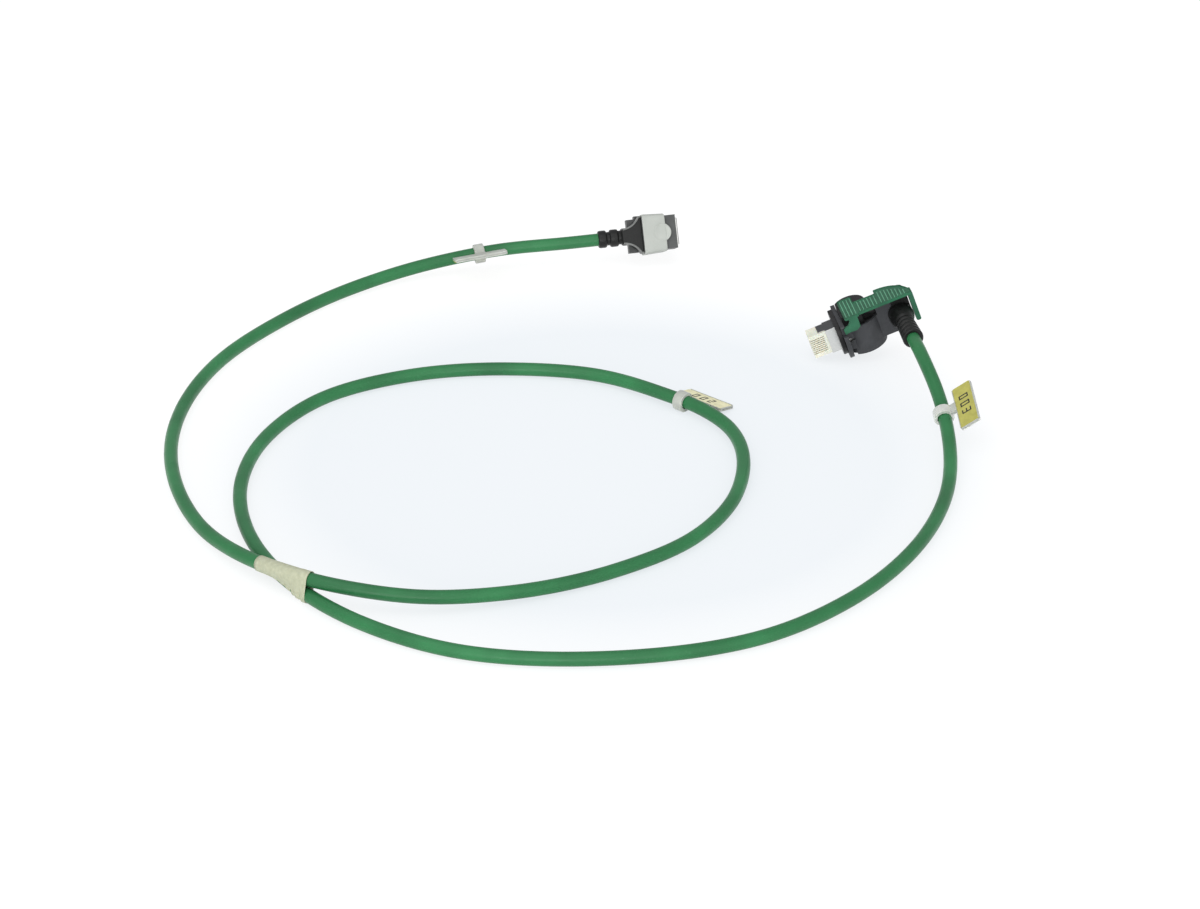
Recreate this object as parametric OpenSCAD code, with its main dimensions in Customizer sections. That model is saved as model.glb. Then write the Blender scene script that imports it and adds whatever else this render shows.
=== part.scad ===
// Ethernet patch cable: an angled lockable RJ45 plug on one end, an in-line RJ45 socket on
// the other, three marker flags and a turn of tape. It lies on a table, Z up, in millimetres.

/* [Cable] */
// Diameter over the cable's jacket
cable_d = 6.2; // [5.6:0.1:6.8]
// Diameter over the braid inside the jacket
braid_d = 5.2; // [4.6:0.1:5.4]
// Diameter of one insulated wire
wire_d = 0.85; // [0.7:0.05:0.9]
// Length of jacket held inside the socket's boot
jacket_hold = 9; // [7:0.5:10]
// Length of bared braid under each crimp ferrule
braid_len = 4; // [3.5:0.1:4.5]
// Wall of the crimp ferrules
ferrule_wall = 0.7; // [0.5:0.1:0.8]

/* [RJ45 parts] */
// Width of the plug
plug_w = 11.68; // [11.5:0.02:11.8]
// Height of the plug's body
plug_t = 8; // [7.6:0.1:8.3]
// Distance between neighbouring contacts
contact_pitch = 1.02; // [1:0.01:1.04]
// Thickness of a contact blade
blade_t = 0.3; // [0.2:0.05:0.4]
// Width of the slot that a contact blade stands in
slot_w = 0.6; // [0.5:0.05:0.7]
// Sheet thickness of the shields
shield_t = 0.3; // [0.2:0.05:0.35]

/* [Plug end] */
// How far the nose stands out in front of the flange
nose_len = 15.4; // [14.6:0.1:16.5]
// Length of the plug's body behind the flange's front
plug_tail = 9.5; // [9:0.5:10]
// Height of the contact face above the flange's centre
plug_face = 6.4; // [6.2:0.1:6.8]
// How far the shield reaches in front of the flange
shield_reach = 7; // [6:0.5:7.5]
// How much further its two side walls reach
shield_side = 3.4; // [3:0.1:3.6]
// Length of the contact slots
slot_len = 7; // [6:0.5:8]
// Length of the load bar
bar_len = 8; // [6:0.5:9]
// Thickness of the load bar
bar_t = 2.6; // [2:0.1:2.8]
// Diameter of the flange
flange_d = 28; // [27:0.5:30]
// Thickness of the flange
flange_t = 2; // [1.6:0.1:2.4]
// Diameter of the gasket in front of the flange
gasket_d = 22.8; // [22:0.1:23.6]
// Thickness of the gasket
gasket_t = 2.2; // [1.6:0.1:2.4]
// Height of the flange's flat top above the centre line
flange_top = 7.4; // [7:0.1:8]
// Diameter of the drum behind the flange
drum_d = 20; // [19.6:0.1:20.4]
// Distance of the drum's axis behind the flange's front
drum_back = 10; // [9.8:0.1:10.4]
// Wall of the drum
drum_wall = 1.4; // [1.2:0.1:1.5]
// Depth of the drum below the centre line
drum_down = 11.3; // [10.8:0.1:11.6]
// Height of the drum's near rim above the centre line
near_rim = 3.6; // [3:0.1:3.8]
// Height of the far side's cover above the centre line
cover_top = 9.7; // [9.4:0.1:10]
// Radius of that cover
cover_r = 7.8; // [7.4:0.1:8]
// Width of the neck between drum and elbow
neck_w = 12; // [11:0.5:12.5]
// Distance of the neck's rear face behind the flange's front
neck_back = 26.2; // [25.8:0.1:26.4]

/* [Plug latch] */
// Width of the latch arm
latch_w = 3.2; // [2.8:0.1:3.6]
// Width over the latch's shoulders
latch_shoulder_w = 6.1; // [5.8:0.1:6.4]
// Thickness of the latch arm
latch_t = 1; // [0.8:0.1:1.2]
// Length of the latch arm
latch_len = 11.2; // [10:0.2:11.4]
// Angle at which the latch stands off the plug
latch_lift = 12; // [11.5:0.5:14]

/* [Elbow boot] */
// Distance of the cable's axis behind the flange's front
elbow_back = 29; // [28.7:0.1:29.4]
// Radius of the elbow's hood
hood_r = 5.9; // [5.7:0.1:6.2]
// Length of the hood's barrel towards the cable
hood_len = 10.5; // [9.5:0.1:12]
// Height of the hood's flat top above the centre line
hood_top = 8.4; // [7.8:0.1:8.6]
// Angle of the cable exit towards the nose
exit_tilt = 0; // [0:0.5:2]
// Distance from the elbow to the first boot ring
boot_from = 17.2; // [16.8:0.1:17.6]
// Distance from the elbow to its crimp ferrule
ferrule_at = 8; // [7.5:0.1:8.6]
// Number of boot rings
boot_rings = 5; // [4:1:6]
// Distance between boot rings
boot_pitch = 3.6; // [3.4:0.1:3.8]
// Width of one boot ring
boot_ring_w = 2; // [1.8:0.1:2.2]
// Diameter of the first boot ring
boot_first_d = 8.8; // [8.6:0.1:9.4]
// Diameter of the last boot ring
boot_last_d = 9.8; // [9.4:0.1:10.4]
// Diameter of the boot between its rings
boot_core_d = 7.6; // [7.4:0.1:8]

/* [Lock slider] */
// Thickness of the slider's plates
slider_t = 1.3; // [1.1:0.1:1.6]
// Distance of the slider's near edge from the centre line
slider_near = 11.4; // [11.2:0.1:11.6]
// Length of the slider's head
head_len = 7; // [6.6:0.1:7.4]
// Distance of the head's far edge from the centre line
head_far = 6.2; // [5.8:0.1:6.8]
// Width of the slider's neck
slider_neck_w = 11.6; // [11:0.2:12.2]
// Radius of the slider's rounded grip
grip_r = 15; // [14.5:0.1:15.5]
// Thickness of the plate behind the elbow
tail_t = 2.1; // [1.8:0.1:2.4]
// How far the tail plate hangs below the centre line
tail_down = 5; // [4:0.5:6]
// Width of the tail plate
tail_w = 4.3; // [4:0.1:4.8]
// Thickness of the slider's foot
foot_t = 1.4; // [1:0.1:1.5]
// Distance between grip ribs
rib_pitch = 1.65; // [1.5:0.05:2]
// Width of a grip rib
rib_w = 0.5; // [0.4:0.05:0.7]
// Height of a grip rib
rib_h = 0.35; // [0.2:0.05:0.5]

/* [Socket end] */
// Width of the socket's shell
shell_w = 16.4; // [16.2:0.1:17.2]
// Thickness of the socket's shell
shell_t = 14.5; // [14.2:0.1:15.2]
// Wall of the socket's shell
shell_wall = 1.2; // [1:0.05:1.3]
// Start of the shell in front of the cable entry
shell_from = 15; // [14.4:0.1:15.6]
// Front of the shell in front of the cable entry
shell_to = 38.2; // [37.5:0.1:39]
// How far the socket's insert stands out of the shell
insert_out = 0.9; // [0.5:0.1:1.5]
// Length of the socket's insert
insert_len = 13.5; // [13:0.1:13.8]
// Width of the plug cavity
cavity_w = 11.9; // [11.85:0.01:12]
// Height of the plug cavity
cavity_t = 8.1; // [7.9:0.05:8.2]
// Depth of the plug cavity
cavity_deep = 10.7; // [10:0.1:11]
// Diameter of a spring contact
spring_d = 0.4; // [0.3:0.05:0.5]
// Thickness of the circuit board
board_t = 1.2; // [1:0.1:1.4]
// Thickness of the terminal block
block_t = 2.4; // [2:0.1:2.4]
// Length of the lock collar
collar_len = 11.1; // [10.5:0.1:12]
// Wall of the lock collar
collar_wall = 1.3; // [1.1:0.1:1.5]
// Radius of the collar's thumb tab
tab_r = 4.5; // [4:0.1:5]
// How far the thumb tab stands out
tab_out = 2.7; // [2:0.1:3.2]

/* [Socket boot] */
// Diameter of the boot's rings
s_ring_d = 8.6; // [8.4:0.1:9.4]
// Length of one ring
s_ring_len = 4.1; // [3.8:0.1:4.4]
// Diameter of the boot between the rings
s_core_d = 7.4; // [7.2:0.1:8]
// Gap between the rings
s_ring_gap = 1.7; // [1.3:0.1:1.9]
// Width of the fishtail hood at the collar
tail_hood_w = 18.4; // [17.5:0.1:19]
// Radius of the fishtail's hollow sides
tail_hood_r = 10; // [9:0.2:11]
// Front of the fishtail hood
tail_hood_to = 21.4; // [21:0.1:22]

/* [Markers and tape] */
// Outside diameter of a marker's ring
ring_d = 9.4; // [9:0.1:10]
// Length of a marker's ring along the cable
ring_len = 5; // [4:0.5:6]
// Length of a marker's flag
flag_len = 26; // [24:0.5:30]
// Width of a marker's flag
flag_w = 10; // [8:0.5:12]
// Thickness of the flag's back
flag_t = 1; // [0.8:0.1:1.4]
// Thickness of a label strip
label_t = 0.4; // [0.2:0.1:0.5]
// Height of the flag's lips over its back
lip_h = 0.7; // [0.6:0.1:1]
// Distance from the cable's axis to the flag
flag_off = 6.8; // [6.5:0.1:8]
// Thickness of the tape over the cable
tape_t = 0.4; // [0.3:0.05:0.6]

/* [Fit] */
// Clearance of fixed pieces
fit = 0.1; // [0.05:0.01:0.15]
// Clearance of sliding pieces
slide_fit = 0.3; // [0.2:0.05:0.4]

/* [Hidden] */
$fn = 48;

contacts = 8;
over = 0.5;                       // how far a cutter runs past the face that it cuts

// Where each connector lies: turn about X, Y and Z, then its own origin in the part's frame
plug_turn = [0, 20, 189];
plug_place = [38.2, -44.6, 13.2];
socket_turn = [62, -2.7, 8.5];
socket_place = [-75.4, 57.5, 12.4];

// Shared positions in the plug's own frame: X towards the nose, Y towards the cable, Z up
plug_back = plug_face - plug_t;
window_y = [plug_back - shield_t - 2 * fit, plug_face + shield_t + 2 * fit];
window_z = plug_w / 2 + shield_t + 2 * fit;
bar_front = nose_len - slot_len - 2;
bar_w = contact_pitch * contacts + 1.8;
wire_y = plug_face - plug_t / 2 - 0.4;
blade_low = wire_y + wire_d / 2 + fit / 2;
boot_end = boot_from + (boot_rings - 1) * boot_pitch + boot_ring_w;
ferrule_d = braid_d + 2 * fit + 2 * ferrule_wall;
strap_low = cover_top + slide_fit;
strap_top = strap_low + slider_t;
tail_front = elbow_back + hood_r + slide_fit;
head_front = 3.2;
foot_y = drum_d / 2 + 1;
grip_from = drum_back + drum_d / 2 + 0.9;
neck_down = drum_down - 2.6;
neck_up = cover_top - 2.2;
latch_root = [nose_len - 0.7 - latch_t / 2, plug_back - fit - latch_t / 2];
notch_z = [near_rim - 0.9, near_rim + 3.2];

// Shared positions in the socket's own frame: X towards the front, Y across, Z out of its face
insert_to = shell_to + insert_out;
insert_from = insert_to - insert_len;
shell_in_w = shell_w - 2 * shell_wall;
shell_in_t = shell_t - 2 * shell_wall;
shield_out_w = shell_in_w - 2 * fit;
shield_out_t = shell_in_t - 2 * fit;
insert_w = shield_out_w - 2 * shield_t - 2 * fit;
insert_t = shield_out_t - 2 * shield_t - 2 * fit;
cavity_low = 0.9 - insert_t / 2;
spring_z = cavity_low + 2.6;
board_from = insert_from - fit - board_t;
block_from = board_from - fit - block_t;
crown_r = hood_r - 0.2;
hood_low = -1;
collar_from = tail_hood_to + slide_fit;
collar_in_w = shell_w + 2 * slide_fit;
collar_in_t = shell_t + 2 * slide_fit;
ear_to = collar_from - slide_fit / 2;
cable_end_len = jacket_hold + braid_len;

function contact_at(i) = (i - (contacts - 1) / 2) * contact_pitch;
function row_at(i, step_y, step_z) = [(i % 4 - 1.5) * step_y, (floor(i / 4) - 0.5) * step_z];

// Directions out of the two connectors, worked out as rotate() turns them
function turn_x(v, a) = [v[0], v[1] * cos(a) - v[2] * sin(a), v[1] * sin(a) + v[2] * cos(a)];
function turn_y(v, a) = [v[0] * cos(a) + v[2] * sin(a), v[1], v[2] * cos(a) - v[0] * sin(a)];
function turn_z(v, a) = [v[0] * cos(a) - v[1] * sin(a), v[0] * sin(a) + v[1] * cos(a), v[2]];
function turned(v, t) = turn_z(turn_y(turn_x(v, t[0]), t[1]), t[2]);
function unit(v) = v / norm(v);

exit_local = [sin(exit_tilt), cos(exit_tilt), 0];
plug_exit_dir = turned(exit_local, plug_turn);
plug_exit = plug_place + turned([-elbow_back, 0, 0] + boot_end * exit_local, plug_turn);
socket_exit_dir = turned([-1, 0, 0], socket_turn);
lead = 14;                        // straight run of cable out of each connector

// The cable's route over the table, from the socket to the plug
route = concat([socket_place, socket_place + lead * socket_exit_dir], [
    [-124.4, 51, 9.9], [-160.9, 41.5, 6], [-197.9, 18, 3.5], [-228.4, -16.5, 3.1],
    [-251.9, -56, 3.1], [-266.9, -145.5, 3.1], [-241.4, -227, 3.9], [-218.4, -256.5, 7.5],
    [-204.4, -269.5, 9.8], [-195.9, -274.8, 10], [-180.4, -281, 9.7], [-152.4, -284.3, 7.4],
    [-111.9, -276, 4.5], [-70.4, -256.5, 3.1], [-34.9, -227.5, 3.1], [-14.4, -186.5, 3.1],
    [-18.9, -120.2, 4.2], [-29.4, -107.2, 4.8], [-43.9, -94.7, 4.8], [-75.4, -72.5, 3.6],
    [-114.9, -65, 3.1], [-160.4, -71, 3.1], [-199.9, -93, 3.1], [-224.4, -131.5, 3.1],
    [-232.9, -176.5, 3.1], [-226.4, -221.5, 3.1], [-197.4, -276.2, 3.6], [-175.9, -297, 3.1],
    [-136.4, -320.5, 3.1], [-72.4, -327.5, 3.1], [-3.9, -308.5, 3.1], [31.1, -279, 3.1],
    [57.6, -241.5, 3.1], [81.3, -164.3, 4.6], [81.9, -138.8, 8.5], [79.5, -116.5, 14.5]
], [plug_exit + lead * plug_exit_dir, plug_exit]);
ring_gap = 22;                    // distance between the rings of the swept tube
cable_sides = 12;
last = len(route) - 1;

function span(i) = norm(route[i + 1] - route[i]);
function heading(i) =
    i == 0 ? socket_exit_dir :
    i == last ? -plug_exit_dir :
    let(a = span(i - 1), b = span(i))
    ((route[i] - route[i - 1]) * b / a + (route[i + 1] - route[i]) * a / b) / (a + b);
function settle(p) = [p[0], p[1], max(p[2], cable_d / 2)];
function curve(i, t) =
    settle((2 * t * t * t - 3 * t * t + 1) * route[i] + (3 * t * t - 2 * t * t * t) * route[i + 1]
        + span(i) * ((t * t * t - 2 * t * t + t) * heading(i) + (t * t * t - t * t) * heading(i + 1)));
function steps(i) = max(1, round(span(i) / ring_gap));
centre_line = concat(
    [for (i = [0:last - 1]) for (k = [0:steps(i) - 1]) curve(i, k / steps(i))], [route[last]]);
rings = len(centre_line);

function facing(i) =
    i == 0 ? socket_exit_dir :
    i == rings - 1 ? -plug_exit_dir :
    unit(centre_line[i + 1] - centre_line[i - 1]);
function ring_points(p, dir, r, n) =
    let(side = unit(cross([0, 0, 1], dir)), up = cross(dir, side))
    [for (k = [0:n - 1]) p + r * (cos(k * 360 / n) * side + sin(k * 360 / n) * up)];

// Markers: the span of rings each sits on, the flag's roll about the cable and its shift along it
marker_span = [3, 37, 73];
marker_roll = [161, -12, 39];
marker_shift = [-1, 4, 2];

// Tape: the spans of rings that it holds together, on the upper strand and on the lower
tape_upper = [21, 23];
tape_lower = [54, 55];

module tube_along(first, final, r) {
    count = final - first + 1;
    points = [for (i = [first:final]) each ring_points(centre_line[i], facing(i), r, cable_sides)];
    sides = [for (i = [0:count - 2]) for (k = [0:cable_sides - 1])
        let(a = i * cable_sides + k, b = i * cable_sides + (k + 1) % cable_sides)
        each [[a, b + cable_sides, b], [a, a + cable_sides, b + cable_sides]]];
    start_cap = [for (k = [0:cable_sides - 1]) k];
    end_cap = [for (k = [cable_sides - 1:-1:0]) (count - 1) * cable_sides + k];
    polyhedron(points, concat(sides, [start_cap, end_cap]));
}

module at_plug() { translate(plug_place) rotate(plug_turn) children(); }
module at_socket() { translate(socket_place) rotate(socket_turn) children(); }
module at_elbow() { at_plug() translate([-elbow_back, 0, 0]) rotate([0, 0, -exit_tilt]) children(); }

// A rod along X, a rod along Y, and a box given by its two corners
module rod_x(from, to, d) { translate([from, 0, 0]) rotate([0, 90, 0]) cylinder(h = to - from, d = d); }
module rod_y(from, to, d) { translate([0, from, 0]) rotate([-90, 0, 0]) cylinder(h = to - from, d = d); }
module block(low, high) { translate(low) cube(high - low); }
module rod(a, b, d) {
    v = b - a;
    translate(a) rotate([0, acos(v[2] / norm(v)), atan2(v[1], v[0])]) cylinder(h = norm(v), d = d);
}

module cable_jacket() { color("#2f9a55") tube_along(0, rings - 1, cable_d / 2); }

// A disc round one strand, square to it
module strand_disc(i, r, h) {
    dir = facing(i);
    translate(centre_line[i])
        rotate([0, acos(dir[2]), atan2(dir[1], dir[0])])
            cylinder(h = h, r = r, center = true, $fn = 24);
}

// A stretched skin over both strands, from discs of radius r and thickness h
module skin(r, h) {
    hull() {
        for (i = [tape_upper[0]:tape_upper[1]]) strand_disc(i, r, h);
        for (i = [tape_lower[0]:tape_lower[1]]) strand_disc(i, r, h);
    }
}

module tape_wrap() {
    inner = cable_d / 2 + fit / 2;
    color("#d9d7b4") difference() {
        skin(inner + tape_t - fit / 2, 0.4);
        skin(inner, 2);
        tube_along(tape_upper[0] - 1, tape_upper[1] + 1, inner);
        tube_along(tape_lower[0] - 1, tape_lower[1] + 1, inner);
    }
}

module at_marker(m) {
    a = centre_line[marker_span[m]];
    b = centre_line[marker_span[m] + 1];
    dir = unit(a - b);
    translate((a + b) / 2) rotate([marker_roll[m], -asin(dir[2]), atan2(dir[1], dir[0])]) children();
}

module marker_carrier(m) {
    x0 = marker_shift[m] - flag_len / 2;
    color("#dcdccb") at_marker(m) difference() {
        union() {
            rod_x(-ring_len / 2, ring_len / 2, ring_d);
            block([-ring_len / 2, 0, -flag_t], [ring_len / 2, flag_off + over, flag_t]);
            block([x0, flag_off, -flag_t], [x0 + flag_len, flag_off + flag_w, lip_h]);
        }
        rod_x(-ring_len, ring_len, cable_d + 2 * fit);
        block([x0 - over, flag_off + lip_h, 0],
              [x0 + flag_len - lip_h, flag_off + flag_w - lip_h, lip_h + over]);
    }
}

module marker_label(m) {
    x0 = marker_shift[m] - flag_len / 2;
    color("#e0d24a") at_marker(m)
        block([x0, flag_off + lip_h + fit, 0],
              [x0 + flag_len - lip_h - fit, flag_off + flag_w - lip_h - fit, label_t]);
}

module plug_body() {
    color("#e9e6cf") at_plug() difference() {
        block([-plug_tail, plug_back, -plug_w / 2], [nose_len, plug_face, plug_w / 2]);
        block([-plug_tail - over, wire_y - bar_t / 2 - fit, -bar_w / 2 - fit],
              [bar_front + fit, wire_y + bar_t / 2 + fit, bar_w / 2 + fit]);
        for (i = [0:contacts - 1]) translate([0, 0, contact_at(i)]) {
            block([nose_len - slot_len, wire_y, -slot_w / 2],
                  [nose_len + over, plug_face + over, slot_w / 2]);
            translate([0, wire_y, 0]) rod_x(bar_front, nose_len - 1.5, wire_d + fit);
        }
    }
}

module plug_contacts() {
    color("#d8b24a") at_plug() for (i = [0:contacts - 1]) translate([0, 0, contact_at(i)])
        block([nose_len - slot_len + fit, blade_low + fit / 2, -blade_t / 2],
              [nose_len - 1.2, plug_face - 0.6, blade_t / 2]);
}

module plug_load_bar() {
    color("#f0f0ea") at_plug() difference() {
        block([bar_front - bar_len, wire_y - bar_t / 2, -bar_w / 2],
              [bar_front, wire_y + bar_t / 2, bar_w / 2]);
        for (i = [0:contacts - 1]) translate([0, wire_y, contact_at(i)])
            rod_x(bar_front - bar_len - over, bar_front + over, wire_d + fit);
    }
}

module plug_shield() {
    side_z = plug_w / 2 + shield_t + fit;
    color("#b9bcc0") at_plug() difference() {
        union() {
            block([-plug_tail, plug_back - shield_t - fit, -side_z],
                  [shield_reach, plug_face + shield_t + fit, side_z]);
            block([-plug_tail, plug_back + 0.6, -side_z],
                  [shield_reach + shield_side, plug_face - 0.6, side_z]);
        }
        block([-plug_tail - over, plug_back - fit, -plug_w / 2 - fit],
              [shield_reach + shield_side + over, plug_face + fit, plug_w / 2 + fit]);
    }
}

module plug_latch() {
    color("#e9e6cf") at_plug() translate(latch_root) rotate([0, 0, latch_lift]) {
        translate([0, 0, -latch_w / 2]) cylinder(h = latch_w, d = latch_t);
        block([-latch_len, -latch_t / 2, -latch_w / 2], [0, latch_t / 2, latch_w / 2]);
        block([-latch_len * 0.66, -latch_t / 2, -latch_shoulder_w / 2],
              [-latch_len * 0.42, latch_t * 0.3, latch_shoulder_w / 2]);
    }
}

module plug_wires() {
    color("#4b82c4") at_plug() for (i = [0:contacts - 1]) {
        aside = i < contacts / 2 ? i % 2 - 0.5 : 0.5 - i % 2;
        start = [-elbow_back + aside * 1.6, ferrule_at - 0.3, (floor(i / 2) - 1.5) * 1.1];
        bend = [-neck_back - 0.4, wire_y, contact_at(i)];
        rod(start, bend, wire_d);
        translate([0, wire_y, contact_at(i)]) rod_x(-neck_back - 0.6, nose_len - 1.8, wire_d);
    }
}

module plug_cable_end() {
    color("#2f9a55") at_elbow() {
        rod_y(ferrule_at + braid_len, boot_end, cable_d);
        rod_y(ferrule_at, ferrule_at + braid_len + over, braid_d);
    }
}

module plug_ferrule() {
    color("#9a9da2") at_elbow() difference() {
        rod_y(ferrule_at + fit, ferrule_at + braid_len - fit, ferrule_d);
        rod_y(ferrule_at - over, ferrule_at + braid_len + over, braid_d + 2 * fit);
    }
}

module front_gasket() {
    color("#1d1e20") at_plug() difference() {
        intersection() {
            rod_x(0, gasket_t, gasket_d);
            block([-over, -gasket_d, -gasket_d], [gasket_t + over, gasket_d, flange_top]);
        }
        block([-over, window_y[0], -window_z], [gasket_t + over, window_y[1], window_z]);
    }
}

// The round space inside the drum, from z_low to z_high
module drum_space(r, z_low, z_high) {
    intersection() {
        translate([-drum_back, 0, z_low]) cylinder(h = z_high - z_low, r = r);
        block([-drum_back - drum_d, -drum_d, z_low], [-flange_t, drum_d, z_high]);
    }
}

module plug_housing() {
    seat_y = 8.4;
    color("#4a4c50") at_plug() difference() {
        union() {
            intersection() {
                rod_x(-flange_t, 0, flange_d);
                block([-flange_t - over, -flange_d, -flange_d], [over, flange_d, flange_top]);
            }
            drum_space(drum_d / 2, -drum_down, near_rim);
            block([-drum_back, -seat_y, -window_z - 1.2], [-flange_t + over, seat_y, near_rim]);
            block([-neck_back, -neck_w / 2, -neck_down], [-drum_back - drum_d * 0.4, neck_w / 2, near_rim]);
            block([-neck_back, -neck_w / 2, near_rim - over],
                  [-drum_back - drum_d / 2 + drum_wall, neck_w / 2, neck_up]);
        }
        drum_space(drum_d / 2 - drum_wall, -drum_down + drum_wall, near_rim + over);
        block([-flange_t - 4.2, window_y[0], -window_z], [over, window_y[1], window_z]);
        // Notch in the flange's edge for the slider's claw
        block([-flange_t - over, foot_y - slide_fit, notch_z[0]], [over, flange_d, notch_z[1]]);
        wire_channel();
        // Bayonet relief in the near wall and the notch below it
        translate([-flange_t - 0.1, 0, -1.4]) rotate([-90, 0, 0])
            linear_extrude(drum_d) polygon([[0, 0], [0, 2.4], [-3.4, 1.2]]);
        block([-flange_t - 1.8, drum_d / 4, -drum_down - over], [-flange_t - 0.2, drum_d, -drum_down + 0.8]);
    }
}

// The way of the wires from the elbow to the plug
module wire_channel() {
    half = contact_at(contacts - 1) + wire_d;
    block([-elbow_back, wire_y - wire_d, -half], [-plug_tail + over, wire_y + wire_d, half]);
}

// It fills the drum and stands up between the near rim and the cover
module inner_block() {
    low = -drum_down + drum_wall + fit;
    color("#26272a") at_plug() difference() {
        intersection() {
            union() {
                drum_space(drum_d / 2, low, near_rim - 0.2);
                block([-plug_tail - 2.2, window_y[0] - 0.6, low], [-flange_t, window_y[1] + 0.6, cover_top]);
                block([-drum_back - drum_d / 2 + drum_wall + fit, wire_y - 2, low],
                      [-plug_tail, wire_y + 2, contact_at(contacts - 1) + wire_d + 0.8]);
            }
            union() {
                drum_space(drum_d / 2 - drum_wall - fit, -drum_down, near_rim + 1);
                block([-drum_back - drum_d, -drum_d, near_rim + fit], [-flange_t, drum_d, cover_top]);
            }
            block([-drum_back - drum_d, -drum_d, -drum_down], [-flange_t - fit, drum_d, cover_top]);
        }
        block([-plug_tail - fit, window_y[0] + fit, -window_z + fit], [0, window_y[1] - fit, window_z - fit]);
        wire_channel();
    }
}

module top_cover() {
    color("#1a1b1d") at_plug() intersection() {
        translate([-drum_back + 1.8, -3.2, near_rim + fit / 2])
            cylinder(h = cover_top - near_rim - fit / 2, r = cover_r);
        block([-drum_back - drum_d, -drum_d, 0], [-flange_t - fit, window_y[0] - 0.6 - fit, cover_top]);
    }
}

module elbow_boot() {
    hold_from = ferrule_at + braid_len;
    color("#18191b") difference() {
        at_elbow() {
            sphere(r = hood_r);
            rod_y(0, hood_len, 2 * hood_r - 0.1);
            translate([0, hood_len - over, 0]) rotate([-90, 0, 0])
                cylinder(h = boot_from - 1.4 - hood_len, r1 = hood_r - 0.1, r2 = boot_first_d / 2);
            // The flat-topped crown: round on its far side, square towards the cable
            cylinder(r = crown_r, h = hood_top);
            block([-crown_r, 0, 0], [elbow_back - neck_back, 7, hood_top]);
            rod_y(boot_from - 2, boot_end, boot_core_d);
            for (k = [0:boot_rings - 1])
                rod_y(boot_from + k * boot_pitch, boot_from + k * boot_pitch + boot_ring_w,
                      boot_first_d + k * (boot_last_d - boot_first_d) / (boot_rings - 1));
        }
        at_plug() block([-neck_back, -neck_w / 2 - fit, -drum_down], [0, neck_w / 2 + fit, cover_top]);
        at_plug() block([-elbow_back, wire_y - wire_d, -contact_at(contacts - 1) - wire_d],
                        [-neck_back + over, wire_y + 3.4, contact_at(contacts - 1) + wire_d]);
        at_elbow() rod_y(0, hold_from, ferrule_d + 2 * fit);
        at_elbow() rod_y(hold_from - over, boot_end + over, cable_d + fit);
    }
}

// The slider's outline seen from above
module strap_outline() {
    head_back = head_front + head_len;
    neck_far = slider_near - slider_neck_w;
    corner_r = 0.8;
    head_near = foot_y + foot_t + 0.1;
    translate([-head_back, corner_r - head_far]) square([head_len, head_far + head_near - 2 * corner_r]);
    translate([corner_r - head_back, -head_far]) square([head_len - 2 * corner_r, head_far + head_near]);
    for (x = [-head_back + corner_r, -head_front - corner_r], y = [corner_r - head_far, head_near - corner_r])
        translate([x, y]) circle(r = corner_r);
    translate([-grip_from - 1, neck_far]) square([grip_from + 2 - head_back, slider_neck_w]);
    intersection() {
        translate([-grip_from - 1.1, slider_near]) circle(r = grip_r);
        translate([-tail_front - tail_t, slider_near - grip_r])
            square([tail_front + tail_t - grip_from, grip_r]);
    }
}

// A grip rib across the strap, from y_low to y_high
module rib(x, y_low, y_high) {
    block([x - rib_w / 2, y_low, strap_top - 0.1], [x + rib_w / 2, y_high, strap_top + rib_h]);
}

module slider_ribs() {
    near = slider_near - 1.1;
    for (k = [0:3]) rib(-head_front - 1.2 - k * rib_pitch, -head_far + 1.4, near + 1);
    for (k = [0:4]) rib(-head_front - head_len - 1.6 - k * rib_pitch, near - slider_neck_w + 2.6, near);
    for (k = [0:6]) rib(-grip_from - 1.4 - k * rib_pitch, near - grip_r + 3.5 + 0.75 * k, near);
}

module lock_slider() {
    foot_back = head_front + head_len - 0.9;
    foot_front = head_front + 1.8;
    strap = strap_low + over;
    color("#2c8a62") at_plug() {
        translate([0, 0, strap_low]) linear_extrude(slider_t) strap_outline();
        slider_ribs();
        block([-tail_front - tail_t, slider_near - 1.2 - tail_w, -tail_down],
              [-tail_front, slider_near - 1.2, strap_top]);
        // The foot down to the flange, with the claw that enters its notch
        translate([0, foot_y + foot_t, 0]) rotate([90, 0, 0]) linear_extrude(foot_t)
            polygon([[-foot_back, strap], [-foot_back, near_rim + 1.2], [2 - foot_back, near_rim - 0.2],
                     [-flange_t - 1.6, near_rim], [0.6 - flange_t, near_rim - 0.5],
                     [0.7 - flange_t, near_rim + 2.7], [-flange_t - 1.7, near_rim + 3.3],
                     [-foot_front, strap_low - 1.4], [-foot_front, strap]]);
    }
}

module socket_cable_end() {
    color("#2f9a55") at_socket() {
        rod_x(0, jacket_hold, cable_d);
        rod_x(jacket_hold - over, cable_end_len, braid_d);
    }
}

module socket_ferrule() {
    color("#9a9da2") at_socket() difference() {
        rod_x(jacket_hold + fit, cable_end_len - fit, ferrule_d);
        rod_x(jacket_hold - over, cable_end_len + over, braid_d + 2 * fit);
    }
}

module socket_wires() {
    color("#d07a2c") at_socket() for (i = [0:contacts - 1]) {
        spot = row_at(i, 1.5, 2);
        translate([0, spot[0], spot[1]]) rod_x(cable_end_len + fit / 2, block_from + block_t - 0.4, wire_d);
    }
}

module terminal_block() {
    color("#e4e4df") at_socket() difference() {
        block([block_from, -insert_w / 2 + fit, -insert_t / 2 + fit],
              [block_from + block_t, insert_w / 2 - fit, insert_t / 2 - fit]);
        for (i = [0:contacts - 1]) {
            spot = row_at(i, 1.5, 2);
            translate([0, spot[0], spot[1]]) rod_x(block_from - over, block_from + block_t + over, wire_d + fit);
        }
    }
}

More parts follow.
